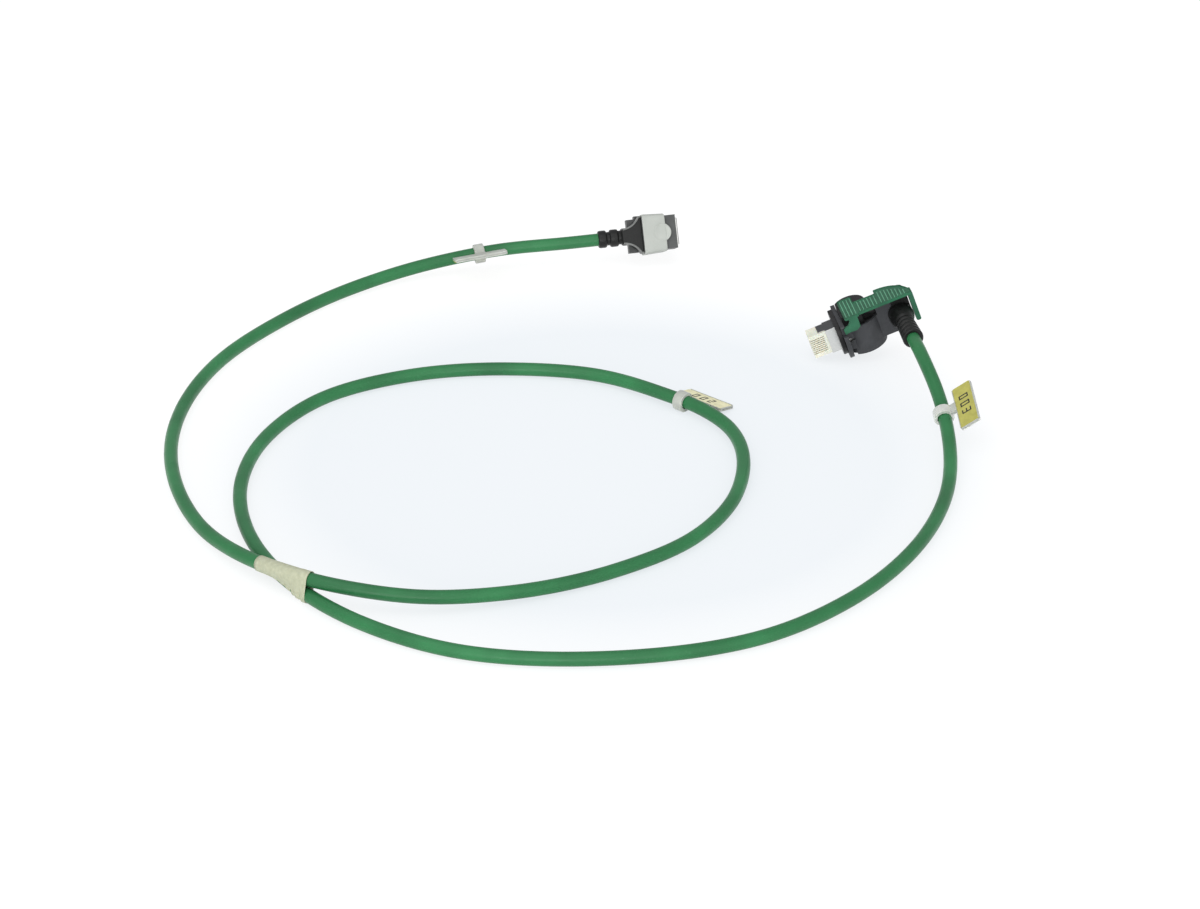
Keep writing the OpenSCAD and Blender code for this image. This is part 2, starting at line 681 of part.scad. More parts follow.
module circuit_board() {
    color("#1f6b3a") at_socket()
        block([board_from, -insert_w / 2 + fit, -insert_t / 2 + fit],
              [board_from + board_t, insert_w / 2 - fit, insert_t / 2 - fit]);
}

// Each spring contact: straight from the board into the cavity, then slanting down to its floor
module socket_contacts() {
    bend = insert_to - cavity_deep + 1.2;
    tip = insert_to - 2.4;
    foot = cavity_low + fit;
    color("#d8b24a") at_socket() for (i = [0:contacts - 1])
        translate([0, contact_at(i) + spring_d / 2, 0]) rotate([90, 0, 0]) linear_extrude(spring_d)
            polygon([[board_from + board_t, spring_z - spring_d / 2], [bend, spring_z - spring_d / 2],
                     [tip, foot], [tip, foot + spring_d], [bend, spring_z + spring_d / 2],
                     [board_from + board_t, spring_z + spring_d / 2]]);
}

module socket_insert() {
    color("#303236") at_socket() difference() {
        block([insert_from, -insert_w / 2, -insert_t / 2], [insert_to, insert_w / 2, insert_t / 2]);
        block([insert_to - cavity_deep, -cavity_w / 2, cavity_low],
              [insert_to + over, cavity_w / 2, cavity_low + cavity_t]);
        block([insert_to - 6.5, -latch_shoulder_w / 2 - slide_fit, 0],
              [insert_to + over, latch_shoulder_w / 2 + slide_fit, cavity_low + cavity_t + 0.7]);
        for (i = [0:contacts - 1]) translate([0, contact_at(i), spring_z])
            rod_x(insert_from - over, insert_to - cavity_deep + over, spring_d + 2 * fit);
    }
}

module socket_shield() {
    color("#8f9296") at_socket() difference() {
        block([block_from, -shield_out_w / 2, -shield_out_t / 2],
              [insert_to - 0.3, shield_out_w / 2, shield_out_t / 2]);
        block([block_from - over, -shield_out_w / 2 + shield_t, -shield_out_t / 2 + shield_t],
              [insert_to + over, shield_out_w / 2 - shield_t, shield_out_t / 2 - shield_t]);
    }
}

module socket_shell() {
    color("#5a5d61") at_socket() difference() {
        union() {
            block([shell_from, -shell_w / 2, -shell_t / 2], [shell_to, shell_w / 2, shell_t / 2]);
            block([ear_to - 2.7, shell_w / 2 - over, -shell_t / 2 + 1],
                  [ear_to, tail_hood_w / 2 + 0.4, hood_low - fit]);
        }
        block([shell_from - over, -shell_w, hood_low - fit], [tail_hood_to + fit, shell_w, shell_t]);
        block([block_from - fit, -shell_in_w / 2, -shell_in_t / 2], [shell_to + over, shell_in_w / 2, shell_in_t / 2]);
        rod_x(shell_from - over, tail_hood_to + over, s_ring_d + 2 * fit);
    }
}

// The hood's flare seen from above: straight ends with hollow round sides
module fishtail() {
    start = 2 * s_ring_len + 2 * s_ring_gap;
    difference() {
        translate([start, -tail_hood_w / 2]) square([tail_hood_to - start, tail_hood_w]);
        for (s = [-1, 1]) translate([start - 0.4, s * (s_core_d / 2 + tail_hood_r)]) circle(r = tail_hood_r);
    }
}

module socket_boot() {
    start = 2 * s_ring_len + 2 * s_ring_gap;
    rim = 0.8;
    color("#1b1c1e") at_socket() difference() {
        union() {
            rod_x(0, start, s_core_d);
            for (k = [0, 1])
                rod_x(k * (s_ring_len + s_ring_gap), k * (s_ring_len + s_ring_gap) + s_ring_len, s_ring_d);
            rod_x(start - over, tail_hood_to, s_ring_d);
            translate([0, 0, hood_low]) linear_extrude(shell_t / 2 - 1.4 - hood_low) fishtail();
            translate([0, 0, shell_t / 2 - 1.4 - over]) linear_extrude(over + rim) difference() {
                fishtail();
                for (s = [-1, 1]) translate([start + 0.4, s * (s_core_d / 2 + tail_hood_r - rim)])
                    mirror([0, s < 0 ? 1 : 0]) translate([0, -tail_hood_w]) square([tail_hood_to, tail_hood_w / 2]);
                translate([start, -s_core_d / 2 + rim]) square([tail_hood_to, s_core_d - 2 * rim]);
            }
        }
        rod_x(-over, jacket_hold, cable_d + fit);
        rod_x(jacket_hold - over, tail_hood_to + over, ferrule_d + 2 * fit);
    }
}

module lock_collar() {
    taper = 0.6;
    half = collar_in_w / 2 + collar_wall;
    high = collar_in_t / 2 + collar_wall;
    to = collar_from + collar_len;
    color("#d3d4d1") at_socket() difference() {
        union() {
            translate([0, 0, -high]) linear_extrude(2 * high)
                polygon([[collar_from, -half], [to, -half + taper], [to, half - taper], [collar_from, half]]);
            translate([to + tab_out - tab_r, 0, collar_in_t / 2]) cylinder(h = collar_wall, r = tab_r);
        }
        block([collar_from - over, -collar_in_w / 2, -collar_in_t / 2],
              [to + tab_out + over, collar_in_w / 2, collar_in_t / 2]);
        translate([to + tab_out - tab_r + 0.5, 0, high + 5.4]) sphere(r = 6);
    }
}

cable_jacket();
tape_wrap();
marker_carrier(0);  // marker_carrier_1
marker_carrier(1);  // marker_carrier_2
marker_carrier(2);  // marker_carrier_3
marker_label(0);  // marker_label_1
marker_label(1);  // marker_label_2
marker_label(2);  // marker_label_3
plug_body();
plug_latch();
plug_contacts();
plug_load_bar();
plug_shield();
plug_wires();
plug_ferrule();
plug_cable_end();
front_gasket();
plug_housing();
inner_block();
top_cover();
elbow_boot();
lock_slider();
socket_shell();
socket_insert();
socket_contacts();
socket_shield();
circuit_board();
terminal_block();
socket_wires();
socket_ferrule();
socket_cable_end();
socket_boot();
lock_collar();
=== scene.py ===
"""Looks of the ethernet patch cable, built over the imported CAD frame."""

import math

import bmesh
import bpy
from mathutils import Euler, Matrix, Vector


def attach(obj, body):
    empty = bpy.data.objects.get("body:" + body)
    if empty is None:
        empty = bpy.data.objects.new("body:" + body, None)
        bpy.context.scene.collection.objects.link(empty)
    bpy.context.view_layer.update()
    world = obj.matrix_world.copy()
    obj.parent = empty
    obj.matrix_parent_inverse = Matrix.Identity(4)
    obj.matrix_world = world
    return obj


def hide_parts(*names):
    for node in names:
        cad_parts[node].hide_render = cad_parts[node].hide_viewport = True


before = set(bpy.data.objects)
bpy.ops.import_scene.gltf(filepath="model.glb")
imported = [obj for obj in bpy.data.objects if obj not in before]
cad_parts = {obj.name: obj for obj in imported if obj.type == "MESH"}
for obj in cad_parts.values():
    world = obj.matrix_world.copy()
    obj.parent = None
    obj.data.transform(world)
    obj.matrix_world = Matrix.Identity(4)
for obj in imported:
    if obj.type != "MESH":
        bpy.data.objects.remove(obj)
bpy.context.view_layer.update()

MM = 0.001
rad = math.radians

# ---------------------------------------------------------------- camera

camera_data = bpy.data.cameras.new("camera")
camera_data.lens = 121.5
camera_data.sensor_width = 36
camera_data.clip_end = 20
camera = bpy.data.objects.new("camera", camera_data)
camera.location = (-0.0744, -1.7506, 0.8542)
camera.rotation_euler = (rad(62), 0, 0)
bpy.context.scene.collection.objects.link(camera)
bpy.context.scene.camera = camera

# ---------------------------------------------------------------- materials


def shader(name, color, roughness, metallic=0.0, **sockets):
    """A material with a Principled shader and the tools to add to it."""
    mat = bpy.data.materials.new(name)
    mat.use_nodes = True
    tree = mat.node_tree
    bsdf = tree.nodes["Principled BSDF"]
    bsdf.inputs["Base Color"].default_value = (*color, 1)
    bsdf.inputs["Roughness"].default_value = roughness
    bsdf.inputs["Metallic"].default_value = metallic
    bsdf.inputs["Specular IOR Level"].default_value = 0.25
    for key, value in sockets.items():
        bsdf.inputs[key.replace("_", " ")].default_value = value
    return mat, tree, bsdf


def noise_of(tree, scale, detail=4.0, stretch=(1, 1, 1)):
    """Noise over the object's own coordinates, each scaled by stretch."""
    coord = tree.nodes.new("ShaderNodeTexCoord")
    mapping = tree.nodes.new("ShaderNodeMapping")
    mapping.inputs["Scale"].default_value = stretch
    node = tree.nodes.new("ShaderNodeTexNoise")
    node.inputs["Scale"].default_value = scale
    node.inputs["Detail"].default_value = detail
    tree.links.new(coord.outputs["Object"], mapping.inputs["Vector"])
    tree.links.new(mapping.outputs["Vector"], node.inputs["Vector"])
    return node.outputs["Fac"]


def ramp_of(tree, fac, stops):
    """Colours over a factor, from (place, colour) stops."""
    node = tree.nodes.new("ShaderNodeValToRGB")
    while len(node.color_ramp.elements) < len(stops):
        node.color_ramp.elements.new(0.5)
    for element, (at, color) in zip(node.color_ramp.elements, stops):
        element.position = at
        element.color = (*color, 1)
    tree.links.new(fac, node.inputs["Fac"])
    return node.outputs["Color"]


def scaled(color, k):
    """A colour k times as bright, with no channel over 1."""
    return tuple(min(1.0, c * k) for c in color)


def bump_to(tree, bsdf, height, strength, distance):
    """Fine relief from a height; the distance is in metres."""
    node = tree.nodes.new("ShaderNodeBump")
    node.inputs["Strength"].default_value = strength
    node.inputs["Distance"].default_value = distance
    tree.links.new(height, node.inputs["Height"])
    tree.links.new(node.outputs["Normal"], bsdf.inputs["Normal"])


def moulded(name, color, roughness=0.45, grain=2600, depth=0.35, spread=0.16, **sockets):
    """Moulded plastic or rubber: cloudy tone, fine spark grain, uneven gloss."""
    mat, tree, bsdf = shader(name, color, roughness, **sockets)
    cloud = noise_of(tree, 160, 5)
    tone = ramp_of(tree, cloud, [(0.3, scaled(color, 1 - spread)), (0.7, scaled(color, 1 + spread))])
    tree.links.new(tone, bsdf.inputs["Base Color"])
    gloss = noise_of(tree, 420, 3)
    low, high = max(0.05, roughness - 0.09), min(1.0, roughness + 0.09)
    rough = ramp_of(tree, gloss, [(0.3, (low,) * 3), (0.7, (high,) * 3)])
    tree.links.new(rough, bsdf.inputs["Roughness"])
    bump_to(tree, bsdf, noise_of(tree, grain, 2), depth, 0.00004)
    return mat


def metal(name, color, roughness):
    """Metal with fine draw lines."""
    mat, tree, bsdf = shader(name, color, roughness, 1.0)
    drawn = noise_of(tree, 900, 4, (1, 1, 12))
    tone = ramp_of(tree, drawn, [(0.3, scaled(color, 0.85)), (0.75, scaled(color, 1.1))])
    tree.links.new(tone, bsdf.inputs["Base Color"])
    bump_to(tree, bsdf, drawn, 0.15, 0.00003)
    return mat


def paper_tape():
    """Paper tape: fibres, creases and a little light through it."""
    color = (0.50, 0.51, 0.36)
    mat, tree, bsdf = shader("tape_paper", color, 0.7)
    fibre = noise_of(tree, 700, 8)
    crease = noise_of(tree, 260, 3, (1, 1, 3))
    tone = ramp_of(tree, fibre, [(0.25, (0.43, 0.44, 0.30)), (0.55, color), (0.8, (0.57, 0.58, 0.42))])
    tree.links.new(tone, bsdf.inputs["Base Color"])
    mix = tree.nodes.new("ShaderNodeMath")
    mix.operation = "MULTIPLY_ADD"
    mix.inputs[1].default_value = 0.4
    tree.links.new(fibre, mix.inputs[0])
    tree.links.new(crease, mix.inputs[2])
    bump_to(tree, bsdf, mix.outputs[0], 0.35, 0.00012)
    bsdf.inputs["Subsurface Weight"].default_value = 0.1
    return mat


def nylon():
    """Milky see-through nylon of the marker carriers."""
    color = (0.58, 0.60, 0.55)
    mat, tree, bsdf = shader("nylon_clear", color, 0.32, Specular_IOR_Level=0.4)
    bsdf.inputs["Transmission Weight"].default_value = 0.3
    bsdf.inputs["Subsurface Weight"].default_value = 0.2
    bsdf.inputs["Subsurface Radius"].default_value = (0.004, 0.004, 0.003)
    tone = ramp_of(tree, noise_of(tree, 240, 3), [(0.3, scaled(color, 0.9)), (0.7, scaled(color, 1.1))])
    tree.links.new(tone, bsdf.inputs["Base Color"])
    bump_to(tree, bsdf, noise_of(tree, 900, 2), 0.2, 0.00005)
    return mat


def jacket():
    """Extruded cable jacket: satin green, faint draw lines, small scuffs."""
    color = (0.024, 0.160, 0.055)
    mat, tree, bsdf = shader("jacket_green", color, 0.36, Specular_IOR_Level=0.3)
    cloud = noise_of(tree, 38, 5)
    tone = ramp_of(tree, cloud, [(0.3, scaled(color, 0.8)), (0.55, color), (0.78, scaled(color, 1.25))])
    scuff = ramp_of(tree, noise_of(tree, 900, 6), [(0.62, (0, 0, 0)), (0.78, (1, 1, 1))])
    mix = tree.nodes.new("ShaderNodeMix")
    mix.data_type = "RGBA"
    low = tree.nodes.new("ShaderNodeMath")
    low.operation = "MULTIPLY"
    low.inputs[1].default_value = 0.22
    tree.links.new(scuff, low.inputs[0])
    tree.links.new(low.outputs[0], mix.inputs["Factor"])
    tree.links.new(tone, mix.inputs[6])
    mix.inputs[7].default_value = (0.10, 0.30, 0.15, 1)
    tree.links.new(mix.outputs[2], bsdf.inputs["Base Color"])
    rough = ramp_of(tree, noise_of(tree, 120, 4), [(0.3, (0.30,) * 3), (0.7, (0.44,) * 3)])
    tree.links.new(rough, bsdf.inputs["Roughness"])
    bump_to(tree, bsdf, noise_of(tree, 1500, 3), 0.25, 0.00005)
    return mat


def label_strip(name, color):
    """Coloured label card with a fine grain."""
    mat, tree, bsdf = shader(name, color, 0.5)
    tone = ramp_of(tree, noise_of(tree, 300, 5), [(0.3, scaled(color, 0.9)), (0.7, scaled(color, 1.1))])
    tree.links.new(tone, bsdf.inputs["Base Color"])
    bump_to(tree, bsdf, noise_of(tree, 2200, 2), 0.2, 0.00003)
    return mat


GREEN_JACKET = jacket()
TAPE = paper_tape()
NYLON = nylon()
LABEL = label_strip("label_yellow", (0.42, 0.40, 0.10))
LABEL_PALE = label_strip("label_pale", (0.80, 0.77, 0.50))
INK = moulded("ink_dark", (0.03, 0.03, 0.035), 0.6)
IVORY = moulded("ivory", (0.74, 0.72, 0.60), 0.28, spread=0.06, Subsurface_Weight=0.15)
GREY = moulded("housing_grey", (0.042, 0.044, 0.048), 0.5, grain=1800)
# black of the inner parts, gasket and socket insert; on the top cover it is painted shade
BLACK_AND_SHADE = moulded("black_and_painted_shade", (0.007, 0.007, 0.0075), 0.36)
RUBBER = moulded("boot_black", (0.006, 0.0065, 0.0062), 0.36, grain=1500, Specular_IOR_Level=0.3)
# grey bands for the black rubber's edges, a painted highlight
RIM_HIGHLIGHT = moulded("boot_rim_painted_highlight", (0.15, 0.155, 0.15), 0.3)
SLIDER = moulded("slider_green", (0.024, 0.118, 0.062), 0.36, grain=2000)
# a lighter copy of the slider's green for the rib tops, a painted highlight
SLIDER_RIB_HIGHLIGHT = moulded("slider_rib_painted_highlight", (0.105, 0.310, 0.190), 0.4, grain=2000)
# a lighter copy of the slider's green for the rim of the strap's top, a painted highlight
SLIDER_RIM_HIGHLIGHT = moulded("slider_rim_painted_highlight", (0.050, 0.195, 0.112), 0.38, grain=2000)
SHELL = moulded("shell_grey", (0.075, 0.078, 0.077), 0.45)
COLLAR = moulded("collar_light", (0.40, 0.42, 0.39), 0.4, spread=0.05)
NICKEL = metal("nickel", (0.70, 0.70, 0.68), 0.38)
# a darker copy of the nickel for the shield's side walls: painted shade and painted dark reflection
SHADED_NICKEL = metal("nickel_painted_shade", (0.11, 0.115, 0.12), 0.4)
GOLD = metal("gold", (0.86, 0.72, 0.44), 0.3)
CONTACT = metal("contact_pale", (0.84, 0.77, 0.60), 0.42)
WHITE = moulded("white_plastic", (0.72, 0.72, 0.68), 0.4)
BOARD = moulded("board_green", (0.02, 0.16, 0.06), 0.3)
WIRE_BLUE = moulded("wire_blue", (0.05, 0.14, 0.42), 0.4)
WIRE_ORANGE = moulded("wire_orange", (0.55, 0.18, 0.04), 0.4)

for node, material in {
    "plug_contacts": CONTACT, "socket_contacts": GOLD, "plug_load_bar": WHITE,
    "terminal_block": WHITE, "plug_wires": WIRE_BLUE, "socket_wires": WIRE_ORANGE,
    "plug_ferrule": NICKEL, "socket_ferrule": NICKEL, "circuit_board": BOARD,
    "plug_cable_end": GREEN_JACKET, "socket_cable_end": GREEN_JACKET,
}.items():
    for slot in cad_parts[node].material_slots:
        slot.material = material

# ---------------------------------------------------------------- frames of the connectors


def placed(place, turn):
    """Local millimetres to the row frame in metres, turned as the part's source turns it."""
    spin = Euler([rad(a) for a in turn], "XYZ").to_matrix().to_4x4()
    return Matrix.Translation(Vector(place) * MM) @ spin @ Matrix.Scale(MM, 4)


ELBOW_BACK = 29.0
BOOT_END = 33.6
PLUG = placed((38.2, -44.6, 13.2), (0, 20, 189))
SOCKET = placed((-75.4, 57.5, 12.4), (62, -2.7, 8.5))
ELBOW = PLUG @ Matrix.Translation((-ELBOW_BACK, 0, 0))

# ---------------------------------------------------------------- mesh tools

# edges that turn by more than this are rounded
BEVEL_FROM = rad(33)


def piece(name, bm, material, body="root", place=None, replaces=(), bevel=0.0, sharp=38):
    """Turns a bmesh into an object that rides on a body."""
    if place is not None:
        bm.transform(place)
    bmesh.ops.recalc_face_normals(bm, faces=bm.faces)
    if bevel:
        edges = [e for e in bm.edges if len(e.link_faces) == 2 and e.calc_face_angle(0) > BEVEL_FROM]
        bmesh.ops.bevel(bm, geom=edges, offset=bevel * MM, segments=2, profile=0.5,
                        affect="EDGES", clamp_overlap=True)
    mesh = bpy.data.meshes.new(name)
    bm.to_mesh(mesh)
    bm.free()
    for polygon in mesh.polygons:
        polygon.use_smooth = True
    mesh.set_sharp_from_angle(angle=rad(sharp))
    mesh.materials.append(material)
    obj = bpy.data.objects.new(name, mesh)
    bpy.context.scene.collection.objects.link(obj)
    normals = obj.modifiers.new("normals", "WEIGHTED_NORMAL")
    normals.keep_sharp = True
    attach(obj, body)
    if replaces:
        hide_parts(*replaces)
    return obj


def dressed(node, material, body="root", bevel=0.2, sharp=38):
    """A copy of a CAD node with softened edges, standing for it."""
    bm = bmesh.new()
    bm.from_mesh(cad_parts[node].data)
    bmesh.ops.remove_doubles(bm, verts=bm.verts, dist=2e-6)
    bmesh.ops.dissolve_limit(bm, angle_limit=rad(0.8), verts=bm.verts, edges=bm.edges)
    return piece(node + "_look", bm, material, body, replaces=(node,), bevel=bevel, sharp=sharp)


def add_box(bm, low, high):
    """A box from its lowest to its highest corner."""
    made = bmesh.ops.create_cube(bm, size=1)["verts"]
    low, high = Vector(low), Vector(high)
    for v in made:
        v.co = Vector(a + (b - a) * (c + 0.5) for a, b, c in zip(low, high, v.co))


def join_rows(bm, rows):
    """Four-sided faces between neighbouring closed rows of points."""
    for low, high in zip(rows, rows[1:]):
        n = len(low)
        for k in range(n):
            bm.faces.new((low[k], low[(k + 1) % n], high[(k + 1) % n], high[k]))


def add_prism(bm, outline, low, high, axes="xyz"):
    """Extrudes a 2-D outline; axes names where its two coordinates and the height go."""
    order = ["xyz".index(a) for a in axes]

    def point(u, v, h):
        p = [0, 0, 0]
        for index, value in zip(order, (u, v, h)):
            p[index] = value
        return Vector(p)

    base = [bm.verts.new(point(u, v, low)) for u, v in outline]
    top = [bm.verts.new(point(u, v, high)) for u, v in outline]
    bm.faces.new(base[::-1])
    cap = bm.faces.new(top)
    n = len(outline)
    for i in range(n):
        bm.faces.new((base[i], base[(i + 1) % n], top[(i + 1) % n], top[i]))
    return cap


def rounded(outline, radius, steps=5):
    """An outline with its corners rounded; radius is one number or one per corner."""
    most = 0.48  # of an edge, so that two corners never meet
    n = len(outline)
    radii = radius if isinstance(radius, (list, tuple)) else [radius] * n
    made = []
    for i in range(n):
        p, r = Vector(outline[i]), radii[i]
        a, b = Vector(outline[i - 1]) - p, Vector(outline[(i + 1) % n]) - p
        if r <= 0 or a.length < 1e-6 or b.length < 1e-6:
            made.append(tuple(p))
            continue
        half = a.angle(b) / 2
        back = min(r / math.tan(half), a.length * most, b.length * most)
        start, end = p + a.normalized() * back, p + b.normalized() * back
        for k in range(steps + 1):
            t = k / steps
            made.append(tuple(start.lerp(p, t).lerp(p.lerp(end, t), t)))
    return made


def add_lathe(bm, profile, sides=40, axis="x"):
    """Turns (position, radius) pairs round an axis."""
    rows = []
    for along, r in profile:
        row = []
        for k in range(sides):
            a = 2 * math.pi * k / sides
            c, s = r * math.cos(a), r * math.sin(a)
            row.append(bm.verts.new((along, c, s) if axis == "x" else (s, along, c)))
        rows.append(row)
    join_rows(bm, rows)


# ---------------------------------------------------------------- the cable's route

plug_exit = ELBOW @ Vector((0, BOOT_END, 0))
plug_out = (ELBOW.to_3x3() @ Vector((0, 1, 0))).normalized()
socket_exit = SOCKET @ Vector((0, 0, 0))
socket_out = (SOCKET.to_3x3() @ Vector((-1, 0, 0))).normalized()
# the straight lead at each boot and the cable's radius, in metres
LEAD = 0.014
RADIUS = 0.0031

# points of the route between the leads, in millimetres
picks = [
    (-124.4, 51, 9.9), (-160.9, 41.5, 6), (-197.9, 18, 3.5), (-228.4, -16.5, 3.1),
    (-251.9, -56, 3.1), (-266.9, -145.5, 3.1), (-241.4, -227, 3.9), (-218.4, -256.5, 7.5),
    (-204.4, -269.5, 9.8), (-195.9, -274.8, 10), (-180.4, -281, 9.7), (-152.4, -284.3, 7.4),
    (-111.9, -276, 4.5), (-70.4, -256.5, 3.1), (-34.9, -227.5, 3.1), (-14.4, -186.5, 3.1),
    (-18.9, -120.2, 4.2), (-29.4, -107.2, 4.8), (-43.9, -94.7, 4.8), (-75.4, -72.5, 3.6),
    (-114.9, -65, 3.1), (-160.4, -71, 3.1), (-199.9, -93, 3.1), (-224.4, -131.5, 3.1),
    (-232.9, -176.5, 3.1), (-226.4, -221.5, 3.1), (-197.4, -276.2, 3.6), (-175.9, -297, 3.1),
    (-136.4, -320.5, 3.1), (-72.4, -327.5, 3.1), (-3.9, -308.5, 3.1), (31.1, -279, 3.1),
    (57.6, -241.5, 3.1), (81.3, -164.3, 4.6), (81.9, -138.8, 8.5), (79.5, -116.5, 14.5),
]
route = [socket_exit, socket_exit + LEAD * socket_out]
route += [Vector(p) * MM for p in picks]
route += [plug_exit + LEAD * plug_out, plug_exit]


def heading(i):
    """Slope of the route at its point i."""
    if i == 0:
        return socket_out
    if i == len(route) - 1:
        return -plug_out
    back, ahead = route[i] - route[i - 1], route[i + 1] - route[i]
    a, b = back.length, ahead.length
    return (back * (b / a) + ahead * (a / b)) / (a + b)


def curve_at(i, t):
    """The route's point a share t along the stretch after point i."""
    span = (route[i + 1] - route[i]).length
    p = (2 * t**3 - 3 * t**2 + 1) * route[i] + (3 * t**2 - 2 * t**3) * route[i + 1]
    p += span * ((t**3 - 2 * t**2 + t) * heading(i) + (t**3 - t**2) * heading(i + 1))
    p.z = max(p.z, RADIUS)
    return p


# the coarse line has a point about every RING_GAP metres, the fine one FINE times as many
RING_GAP = 0.022
FINE = 6
line, coarse = [], []
for i in range(len(route) - 1):
    steps = max(1, math.floor((route[i + 1] - route[i]).length / RING_GAP + 0.5))
    for k in range(steps):
        coarse.append(curve_at(i, k / steps))
        line += [curve_at(i, (k + j / FINE) / steps) for j in range(FINE)]
line.append(route[-1])
coarse.append(route[-1])


def along(i):
    """Direction of the cable at a fine point."""
    return (line[min(i + 1, len(line) - 1)] - line[max(i - 1, 0)]).normalized()


def ring_frame(p, direction):
    """A point with the level side and the upward direction of the ring round it."""
    side = Vector((0, 0, 1)).cross(direction).normalized()
    return p, side, direction.cross(side)


def sweep(bm, rings, radius, sides=28):
    """A closed tube through a list of ring frames."""
    rows = []
    for p, side, up in rings:
        row = []
        for k in range(sides):
            a = 2 * math.pi * k / sides
            row.append(bm.verts.new(p + radius * (math.cos(a) * side + math.sin(a) * up)))
        rows.append(row)
    join_rows(bm, rows)
    bm.faces.new(rows[0])
    bm.faces.new(rows[-1][::-1])


bm = bmesh.new()
directions = [along(i) for i in range(len(line))]
directions[0], directions[-1] = socket_out, -plug_out
sweep(bm, [ring_frame(p, d) for p, d in zip(line, directions)], RADIUS)
cable = piece("cable", bm, GREEN_JACKET, replaces=("cable_jacket",), sharp=60)

# ---------------------------------------------------------------- markers

# of each marker: its span of the route, roll in degrees, flag's shift along the cable and number
MARKERS = [(3, 161, -1, 1), (37, -12, 4, 2), (73, 39, 2, 3)]
FLAG = (26, 10)
FLAG_OFF = 6.8
FLAG_T, FLAG_CORNER = 1.0, 0.9
RIDGE_W, RIDGE_TOP = 0.35, 0.6
CLIP_HALF, CLIP_BORE, CLIP_R, CLIP_ROUND = 2.5, 3.2, 4.7, 0.35
STRIP_T, STRIP_SET, INK_T = 0.4, 0.4, 0.04
DIGIT_FROM, DIGIT_STEP, DIGIT_UP, DIGIT_H = 6.4, 4.6, 2.6, 4.8


def marker_frame(span, roll):
    """A marker's frame: x along the cable, y out to its flag."""
    a, b = coarse[span], coarse[span + 1]
    d = (a - b).normalized()
    turn = (roll, -math.degrees(math.asin(d.z)), math.degrees(math.atan2(d.y, d.x)))
    return placed((a + b) / 2 / MM, turn)


def add_digit(bm, digit, x, y, z, height):
    """A plain printed numeral of thin bars, lying flat."""
    bars = {"0": "abcdef", "1": "bc", "2": "abged", "3": "abgcd"}
    w, h, t = height * 0.5, height, height * 0.13
    spots = {
        "a": ((0, h - t), (w, h)), "b": ((w - t, h / 2), (w, h)), "c": ((w - t, 0), (w, h / 2)),
        "d": ((0, 0), (w, t)), "e": ((0, 0), (t, h / 2)), "f": ((0, h / 2), (t, h)),
        "g": ((0, (h - t) / 2), (w, (h + t) / 2)),
    }
    for bar in bars[digit]:
        (x0, y0), (x1, y1) = spots[bar]
        add_box(bm, (x + x0, y + y0, z), (x + x1, y + y1, z + INK_T))


for span, roll, shift, number in MARKERS:
    place = marker_frame(span, roll)
    x0, x1 = shift - FLAG[0] / 2, shift + FLAG[0] / 2
    y0, y1 = FLAG_OFF, FLAG_OFF + FLAG[1]
    bm = bmesh.new()
    edge, shoulder = CLIP_HALF - CLIP_ROUND, CLIP_R - CLIP_ROUND
    ring = [(-CLIP_HALF, CLIP_BORE), (-CLIP_HALF, shoulder), (-edge, CLIP_R), (edge, CLIP_R),
            (CLIP_HALF, shoulder), (CLIP_HALF, CLIP_BORE), (-CLIP_HALF, CLIP_BORE)]
    add_lathe(bm, ring, 48)
    add_box(bm, (-CLIP_HALF, 4.2, -0.95), (CLIP_HALF, y0 + 0.4, 0.95))
    back = rounded([(x0, y0), (x1, y0), (x1, y1), (x0, y1)], FLAG_CORNER, 4)
    add_prism(bm, back, -FLAG_T, 0.0)
    add_box(bm, (x0 + 0.5, y0, -0.4), (x1 - 0.6, y0 + RIDGE_W, RIDGE_TOP))
    add_box(bm, (x0 + 0.5, y1 - RIDGE_W, -0.4), (x1 - 0.6, y1, RIDGE_TOP))
    add_box(bm, (x1 - RIDGE_W, y0 + 0.6, -0.4), (x1, y1 - 0.6, RIDGE_TOP))
    piece(f"marker_holder_{number}", bm, NYLON, place=place,
          replaces=(f"marker_carrier_{number}",))
    bm = bmesh.new()
    end, near, far = x1 - STRIP_SET, y0 + STRIP_SET, y1 - STRIP_SET
    strip = rounded([(x0, near), (end, near), (end, far), (x0, far)], FLAG_CORNER, 4)
    add_prism(bm, strip, 0.0, STRIP_T)
    piece(f"marker_strip_{number}", bm, LABEL_PALE if number == 2 else LABEL, place=place,
          replaces=(f"marker_label_{number}",))
    bm = bmesh.new()
    for k, digit in enumerate(f"00{number}"):
        add_digit(bm, digit, x0 + DIGIT_FROM + DIGIT_STEP * k, y0 + DIGIT_UP, STRIP_T, DIGIT_H)
    piece(f"marker_digits_{number}", bm, INK, place=place)

# ---------------------------------------------------------------- tape round two strands

# the tape's spans of the route, on the upper strand and on the lower one
TAPE_UPPER, TAPE_LOWER = (21, 23), (54, 55)
TAPE_T = 0.00028
# the folded end lies a layer higher, from this share of the tape on
FOLD_T, FOLD_FROM = 0.00012, 0.74
# shares of the tape from which, and over which, it reaches out to the lower strand
SPREAD_FROM, SPREAD_OVER = 0.08, 0.5
STATIONS, ARC_POINTS, OUTLINE_POINTS = 22, 40, 64


def hull_ring(points):
    """Convex outline of 2-D points, counter-clockwise."""
    points = sorted(set(points))

    def half(seq):
        out = []
        for p in seq:
            while len(out) > 1 and (
                (out[-1][0] - out[-2][0]) * (p[1] - out[-2][1])
                - (out[-1][1] - out[-2][1]) * (p[0] - out[-2][0])
            ) <= 0:
                out.pop()
            out.append(p)
        return out[:-1]

    return half(points) + half(points[::-1])


